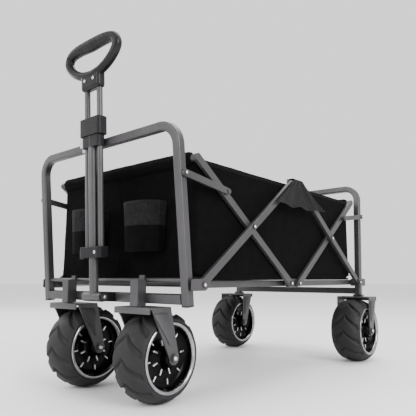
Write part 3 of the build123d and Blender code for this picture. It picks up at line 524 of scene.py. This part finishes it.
def canvas_finish(name, dark, light, sheen=0.008):
    """Plain woven polyester: crossed threads, slubs and a faint sheen."""
    cloth = Finish(name, light, 0.82, Sheen_Weight=sheen, Sheen_Roughness=0.45, Specular_IOR_Level=0.03)
    cloth.colour_from(cloth.grain(42, 5, 0.62), (0.3, dark), (0.74, light))
    threads = []
    for direction in ("X", "Y", "Z"):
        thread = cloth.node("TexWave", [("Vector", cloth.place), ("Scale", 210.0), ("Distortion", 0.6),
                                        ("Detail", 1.0), ("Detail Scale", 3.0)],
                            wave_type="BANDS", bands_direction=direction)
        threads.append(thread.outputs["Fac"])
    first = cloth.node("Math", [(0, threads[0]), (1, threads[2])], operation="MULTIPLY").outputs["Value"]
    weave = cloth.node("Math", [(0, first), (1, threads[1])], operation="ADD").outputs["Value"]
    cloth.bump(weave, 0.0004, 0.55)
    cloth.bump(cloth.grain(55, 4), 0.0012, 0.25)
    cloth.roughness_from(cloth.grain(120), 0.74, 0.92)
    return cloth


canvas = canvas_finish("black_canvas", (0.0012, 0.0012, 0.0014), (0.0026, 0.0026, 0.0029))


def hem_height(spot):
    """The lower edge's height: it steps up over the corner brackets and the joint plates."""
    over_hinge = max(1 - ramped(0.034, 0.050, abs(spot.y - y)) for y in (FRONT_Y, REAR_Y))
    over_hinge *= ramped(0.20, 0.225, abs(spot.x))
    over_plate = 1 - ramped(0.038, 0.050, abs(spot.y - FOLD_Y))
    return TUB_LOW + max(0.0105 * over_hinge, 0.0034 * over_plate)


def round_the_tub(share):
    """A point on the tub's outline and the way in, a share of the way round from the front's middle."""
    wide, front, rear = TUB_SIDE - CORNER, TUB_FRONT + CORNER, TUB_REAR - CORNER
    arc = pi / 2 * CORNER
    runs = [wide, arc, rear - front, arc, 2 * wide, arc, rear - front, arc, wide]
    left = (share % 1) * sum(runs)
    turn = -pi / 2
    spot = Vector((0, TUB_FRONT))
    for i, run in enumerate(runs):
        step = min(left, run)
        if i % 2:
            bend = step / CORNER
            middle = spot + CORNER * Vector((-cos(turn), -sin(turn)))
            turn += bend
            spot = middle + CORNER * Vector((cos(turn), sin(turn)))
        else:
            spot = spot + step * Vector((-sin(turn), cos(turn)))
        left -= run
        if left <= 0:
            break
    return spot, Vector((-cos(turn), -sin(turn)))


def grid(name, across, along):
    """A flat grid from -1 to 1 both ways, whose points are then moved to their places."""
    bpy.ops.object.select_all(action="DESELECT")
    bpy.ops.mesh.primitive_grid_add(x_subdivisions=across, y_subdivisions=along, size=2)
    made = bpy.context.object
    made.name = name
    return made


AROUND, UP = 320, 34
TUB_LENGTH = 2.52
tub = grid("tub_cloth", AROUND, UP)
for vertex in tub.data.vertices:
    share, up = (vertex.co.x + 1) / 2, (vertex.co.y + 1) / 2
    spot, inward = round_the_tub(share)
    along = share * TUB_LENGTH
    slack = sin(pi * up) ** 0.8 * (0.0024 + 0.0022 * noise.noise(Vector((along * 3.1, up * 1.4, 2.0))))
    creases = 0.0011 * noise.noise(Vector((along * 9, up * 5 + along * 2, 5.0)))
    near_foot = exp(-((up - 0.10) / 0.13) ** 2)
    puckers = 0.0010 * near_foot * noise.noise(Vector((along * 34, up * 4, 9.0)))
    inset = max(0.0, slack + (creases + puckers) * max(0.0, sin(pi * up)) ** 0.3)
    inset = 0.0004 + inset * (1 - 0.75 * abs(inward.x))
    height = hem_height(spot) * (1 - up) + TUB_HIGH * up
    vertex.co = (spot.x + inward.x * inset, spot.y + inward.y * inset, height)


def thickened(piece, thickness, offset=-1.0):
    """Gives a sheet its thickness, inwards unless the offset is 0, then shades it smooth."""
    bpy.ops.object.select_all(action="DESELECT")
    piece.select_set(True)
    bpy.context.view_layer.objects.active = piece
    bpy.ops.object.mode_set(mode="EDIT")
    bpy.ops.mesh.select_all(action="SELECT")
    bpy.ops.mesh.remove_doubles(threshold=1e-6)
    bpy.ops.mesh.normals_make_consistent(inside=False)
    bpy.ops.object.mode_set(mode="OBJECT")
    wall = piece.modifiers.new("thickness", "SOLIDIFY")
    wall.thickness = thickness
    wall.offset = offset
    wall.use_even_offset = False
    bpy.ops.object.modifier_apply(modifier=wall.name)
    bpy.ops.object.shade_smooth_by_angle(angle=radians(50))
    return piece


thickened(tub, 0.0020)
tub.data.materials.append(canvas.material)


def round_band(name, low, high, proud, thick, finish):
    """A folded hem or binding round the tub, proud of its wall."""
    band = grid(name, AROUND, 1)
    for vertex in band.data.vertices:
        share = (vertex.co.x + 1) / 2
        spot, inward = round_the_tub(share)
        ripple = 0.0003 * noise.noise(Vector((share * 90, 0, low * 50)))
        lift = hem_height(spot) - TUB_LOW if high < 0.4 else 0
        height = (low if vertex.co.y < 0 else high) + lift + 2 * ripple
        vertex.co = (spot.x - inward.x * (proud + ripple), spot.y - inward.y * (proud + ripple), height)
    thickened(band, thick)
    bpy.ops.object.mode_set(mode="EDIT")
    bpy.ops.mesh.select_all(action="DESELECT")
    bpy.ops.object.mode_set(mode="OBJECT")
    for edge in band.data.edges:
        a, b = (band.data.vertices[i].co.z for i in edge.vertices)
        edge.select = abs(a - b) < 0.002
    bpy.ops.object.mode_set(mode="EDIT")
    bpy.ops.mesh.bevel(offset=min(thick, high - low) * 0.3, segments=2)
    bpy.ops.object.mode_set(mode="OBJECT")
    band.data.materials.append(finish.material)
    return band


binding = canvas_finish("binding_tape", (0.0022, 0.0022, 0.0025), (0.0045, 0.0045, 0.005), 0.02)
top_binding = round_band("tub_top_binding", 0.5120, 0.5236, 0.0006, 0.0042, binding)
foot_hem = round_band("tub_foot_hem", 0.2621, 0.2760, 0.0003, 0.0030, canvas)
for piece in (tub, top_binding, foot_hem):
    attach(piece, "top_joint")
    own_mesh(piece)
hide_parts("tub_front", "tub_rear", "tub_sides")


# ---- End rolls ----
# The end walls' tops are rolled round the hangers' cross tubes over soft foam and
# sewn through along three lines, so each roll is full between its seams.
ROLL_HALF = 0.2375
ROLL_RADIUS = 0.0142
SEAM_DEPTH = 0.0013


def end_roll(name, y, body):
    """A soft roll along X, fuller between its two seams, closed by puckered ends."""
    roll = grid(name, 90, 48)
    for vertex in roll.data.vertices:
        along, angle = vertex.co.x, pi * vertex.co.y
        seams = sum(exp(-((angle - seam) / 0.09) ** 2) for seam in map(radians, (-155, 155, 90)))
        soft = noise.noise(Vector((along * 7, angle * 1.3, y * 10)))
        radius = ROLL_RADIUS - SEAM_DEPTH * seams + 0.0007 * soft
        end = ramped(0.955, 1.0, abs(along))
        radius = radius * (1 - 0.42 * end * end) + 0.0006 * end * sin(9 * angle)
        height = FOLD_POINT[2] + radius * sin(angle) * 1.12
        vertex.co = (along * ROLL_HALF, y + radius * cos(angle) * 0.98, height)
    thickened(roll, 0.0016)
    roll.data.materials.append(canvas.material)
    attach(roll, body)
    return roll


front_roll = end_roll("front_end_roll", FRONT_Y, "front_hanger")
rear_roll = end_roll("rear_end_roll", REAR_Y, "rear_hanger")


# ---- Cup pockets ----
# Two rounded pockets on the front wall: black cloth below, open mesh above it and
# a wide elastic round the mouth, all sewn to the wall along their sides.
POCKET_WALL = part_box("cup_pockets")[1][1] - 0.0003
POCKET_DEEP = POCKET_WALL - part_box("cup_pockets")[0][1] - 0.0005
POCKET_HALF = 0.0585
POCKET_FOOT, POCKET_TALL = 0.3262, 0.11
POCKET_BANDS = {"cloth": (POCKET_FOOT, 0.3810), "net": (0.3806, 0.4310), "elastic": (0.4300, 0.4362)}


def pocket_edge(share, size, middle):
    """A point on a pocket's D-shaped outline; share runs from -1 to 1 along it."""
    corner = 0.62
    turn = pi / 2 * max(-1, min(1, share / corner))
    straight = max(0, abs(share) - corner) / (1 - corner)
    ahead = POCKET_DEEP * size * (1 - 0.62 * abs(sin(turn)) ** 2.6) * (1 - straight)
    return middle + sin(turn) * POCKET_HALF * size, POCKET_WALL - ahead


def pocket_part(name, middle, low, high, rows, thick, finish, bulge=0.0):
    """A band of the pocket between two heights, narrower towards its foot."""
    part = grid(name, 48, rows)
    for vertex in part.data.vertices:
        share, up = vertex.co.x, (vertex.co.y + 1) / 2
        height = low + (high - low) * up
        rise = (height - POCKET_FOOT) / POCKET_TALL
        size = 0.90 + 0.10 * ramped(0, 1, rise) + bulge * sin(pi * up)
        size += (0.012 * noise.noise(Vector((share * 3, rise * 3, middle * 20)))
                 * sin(pi * min(1, rise + 0.05)))
        x, y = pocket_edge(share, size, middle)
        vertex.co = (x, min(y, POCKET_WALL), height)
    thickened(part, thick, 0.0)
    part.data.materials.append(finish.material)
    return part


net = Finish("pocket_net", (0.004, 0.004, 0.0045), 0.7, Specular_IOR_Level=0.1)
net.material.surface_render_method = "DITHERED"
cells = net.node("TexVoronoi", [("Vector", net.place), ("Scale", 420.0), ("Randomness", 0.15)],
                 feature="DISTANCE_TO_EDGE").outputs["Distance"]
net.link(net.ramp(cells, (0.20, 1.0), (0.34, 0.25)), net.shader.inputs["Alpha"])
net.colour_from(net.grain(60), (0.3, 0.003), (0.7, 0.007))
net.bump(cells, 0.0004, 0.6)
elastic = Finish("elastic_tape", (0.004, 0.004, 0.0045), 0.7, Sheen_Weight=0.03, Specular_IOR_Level=0.1)
elastic.colour_from(elastic.grain(80), (0.3, 0.003), (0.7, 0.006))
elastic.bump(elastic.node("TexWave", [("Vector", elastic.place), ("Scale", 330.0)], wave_type="BANDS",
                          bands_direction="X").outputs["Fac"], 0.0006, 0.8)

for side, middle in (("left", -0.102), ("right", 0.102)):
    cloth_part = pocket_part(f"{side}_pocket_cloth", middle, *POCKET_BANDS["cloth"], 14, 0.0014, canvas,
                             bulge=0.02)
    net_part = pocket_part(f"{side}_pocket_net", middle, *POCKET_BANDS["net"], 12, 0.0007, net)
    band = pocket_part(f"{side}_pocket_elastic", middle, *POCKET_BANDS["elastic"], 3, 0.0024, elastic)
    base = grid(f"{side}_pocket_base", 40, 8)
    for vertex in base.data.vertices:
        x, y = pocket_edge(vertex.co.x, 0.903, middle)
        ahead = (vertex.co.y + 1) / 2
        sag = 0.0016 * sin(pi * ahead)
        vertex.co = (x, POCKET_WALL + (y - POCKET_WALL) * ahead, POCKET_FOOT + 0.0006 - sag)
    thickened(base, 0.0012, 0.0)
    base.data.materials.append(canvas.material)
    for piece in (cloth_part, net_part, band, base):
        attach(piece, "top_joint")
        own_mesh(piece)
    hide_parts("cup_pockets")

# ---- Joint caps ----
# Charcoal cloth pockets over the top joints: sewn to the rim, flat in the middle,
# lying over each bar in a soft ridge, with hemmed corners that stand out.
CAP_TOP = 0.5362
CAP_LOW = 0.4575


def cap_point(across, down, side):
    """A point of the cap; across from -1 to 1, down from the rim's inner edge (0) to the hem (1)."""
    over = 0.22
    if down < over:
        share = down / over
        half = 0.0195
        x = 0.2440 + 0.0275 * share
        z = CAP_TOP - 0.0008 * (1 - share) - 0.0030 * ramped(0.72, 1, share)
        return Vector((side * x, FOLD_Y + half * across, z))
    share = (down - over) / (1 - over)
    half = 0.0195 + 0.113 * share
    y = half * across
    sag = 0.006 * (across * across) * share
    z = CAP_TOP - 0.003 - (CAP_TOP - 0.003 - CAP_LOW) * share - sag * (1 - share) * 2
    z += 0.004 * share * cos(3 * pi * across) * (1 - abs(across)) - 0.003 * share * (1 - across * across)
    ridge = exp(-((abs(across) - 0.70) / 0.17) ** 2)
    crease = exp(-((abs(across) - 0.34) / 0.10) ** 2)
    corner = ramped(0.72, 1.0, abs(across)) * share ** 1.5
    x = 0.2722 + 0.0045 * ridge * share ** 0.6 - 0.0010 * crease * share + 0.0085 * corner
    x += 0.0035 * share * share + 0.0008 * noise.noise(Vector((across * 3, share * 4, side)))
    return Vector((side * x, FOLD_Y + y, z))


charcoal = canvas_finish("charcoal_cloth", (0.0060, 0.0058, 0.0062), (0.0105, 0.0100, 0.0108), 0.05)
for name, side in (("left", -1), ("right", 1)):
    cap = grid(f"{name}_joint_cap_cloth", 72, 48)
    for vertex in cap.data.vertices:
        across, down = vertex.co.x, (1 - vertex.co.y) / 2
        vertex.co = cap_point(across, down, side)
    thickened(cap, 0.0018, 0.0)
    cap.data.materials.append(charcoal.material)
    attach(cap, "top_joint")
    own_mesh(cap)
    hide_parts("joint_caps")


# ---- Floor boards ----
# Two stiff boards sewn into black canvas, thinner round the edge and pressed in
# along their seams, which lie on the floor frame and fold with it.
BOARD_TOP = 0.2682
BOARD_HALF = 0.2397


def floor_board(name, front, rear, body, node):
    """One board between two places along the cart, eased at its edges and pressed in at its seams."""
    board = grid(name, 96, 72)
    middle, reach = (front + rear) / 2, (rear - front) / 2
    for vertex in board.data.vertices:
        across, along = vertex.co.x, vertex.co.y
        edge = ramped(1, 0.955, abs(across)) * ramped(1, 0.94, abs(along))
        seams = exp(-((abs(across) - 0.5) / 0.012) ** 2) + exp(-(along / 0.016) ** 2)
        soft = 0.0005 * noise.noise(Vector((across * 4, along * 3, middle * 9)))
        height = BOARD_TOP - 0.0026 * (1 - edge) - 0.0011 * seams * edge + soft * edge
        vertex.co = (BOARD_HALF * across, middle + reach * along, height)
    thickened(board, 0.0050)
    board.data.materials.append(canvas.material)
    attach(board, body)
    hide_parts(node)
    return board


floor_board("front_floor_board_cloth", FRONT_Y + 0.006, FOLD_Y - 0.00015, "front_floor",
            "front_floor_board")
floor_board("rear_floor_board_cloth", FOLD_Y + 0.00015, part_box("rear_floor_board")[1][1] - 0.0002,
            "rear_floor", "rear_floor_board")


# ---- Grip ----
# A moulded closed loop on a wide neck: the palm bar swells inwards and has a
# stippled rubber face, the neck takes the two rods.
HANDLE_PLACE = Matrix.Translation(middle_of("handle_pin")) @ Matrix.Rotation(radians(3.05), 4, "X")
NECK_SIZE = (0.070, 0.0235, 0.043, 1)
NECK_MIDDLE = (0, 0.0015, 0.5085)
MOULDING_VOXEL = 0.0016
PALM_FROM_Z, PALM_TO_Z = 0.806, 0.809
GRIP_LINE = [(0, 524), (34, 529), (64, 542), (86, 560), (93, 577), (82, 593), (48, 599.5), (0, 601)]

bpy.ops.object.select_all(action="DESELECT")
bpy.ops.mesh.primitive_torus_add(major_segments=144, minor_segments=28, major_radius=1, minor_radius=0.2)
grip = bpy.context.object
grip.name = "moulded_grip"
for vertex in grip.data.vertices:
    x, y, z = vertex.co
    angle = atan2(x, -y)
    swing = atan2(z, hypot(x, y) - 1)
    share = abs(angle) / pi
    sign = 1 if angle >= 0 else -1
    here = eased(GRIP_LINE, share) / 1000
    ahead = eased(GRIP_LINE, min(1, share + 0.01)) - eased(GRIP_LINE, max(0, share - 0.01))
    outward = Vector((ahead.y, -ahead.x)).normalized()
    palm = ramped(0.62, 0.86, share)
    thick = 0.0110 + 0.0022 * palm
    deep = 0.0116 + 0.0028 * palm
    inner = 1 + 0.45 * ramped(0.80, 1.0, share) * max(0, -cos(swing))
    radial = thick * cos(swing) * inner
    vertex.co = (sign * (here.x + outward.x * radial), deep * sin(swing), here.y + outward.y * radial)
bpy.ops.object.mode_set(mode="EDIT")
bpy.ops.mesh.select_all(action="SELECT")
bpy.ops.mesh.remove_doubles(threshold=0.0003)
bpy.ops.mesh.normals_make_consistent(inside=False)
bpy.ops.object.mode_set(mode="OBJECT")

bpy.ops.object.select_all(action="DESELECT")
bpy.ops.mesh.primitive_cube_add(size=1)
neck = bpy.context.object
neck.data.transform(Matrix.Translation(NECK_MIDDLE) @ Matrix.Diagonal(NECK_SIZE))
bpy.ops.object.mode_set(mode="EDIT")
bpy.ops.mesh.select_all(action="SELECT")
bpy.ops.mesh.bevel(offset=0.0075, segments=4)
bpy.ops.object.mode_set(mode="OBJECT")
grip.select_set(True)
bpy.context.view_layer.objects.active = grip
bpy.ops.object.join()
remesh = grip.modifiers.new("moulding", "REMESH")
remesh.mode = "VOXEL"
remesh.voxel_size = MOULDING_VOXEL
bpy.ops.object.modifier_apply(modifier=remesh.name)
soften = grip.modifiers.new("soften", "SMOOTH")
soften.factor = 0.5
soften.iterations = 6
bpy.ops.object.modifier_apply(modifier=soften.name)
bpy.ops.object.shade_smooth()
grip.data.transform(HANDLE_PLACE)
grip_plastic = Finish("grip_plastic", (0.009, 0.009, 0.010), 0.36, Specular_IOR_Level=0.14)
grip_plastic.colour_from(grip_plastic.grain(40), (0.3, (0.007, 0.007, 0.008)),
                         (0.75, (0.013, 0.013, 0.014)))
height = grip_plastic.node("SeparateXYZ", [("Vector", grip_plastic.place)]).outputs["Z"]
on_palm = grip_plastic.node("MapRange", [("Value", height), ("From Min", PALM_FROM_Z),
                                         ("From Max", PALM_TO_Z)])
on_palm = on_palm.outputs["Result"]
dots = grip_plastic.node("TexVoronoi", [("Vector", grip_plastic.place), ("Scale", 520.0),
                                        ("Randomness", 0.25)])
stipple = grip_plastic.node("Math", [(0, dots.outputs["Distance"]), (1, on_palm)], operation="MULTIPLY")
grip_plastic.bump(stipple.outputs["Value"], 0.0005, 0.4)
grip_plastic.roughness_from(on_palm, 0.30, 0.42)
grip.data.materials.append(grip_plastic.material)
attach(grip, "handle")
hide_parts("grip")
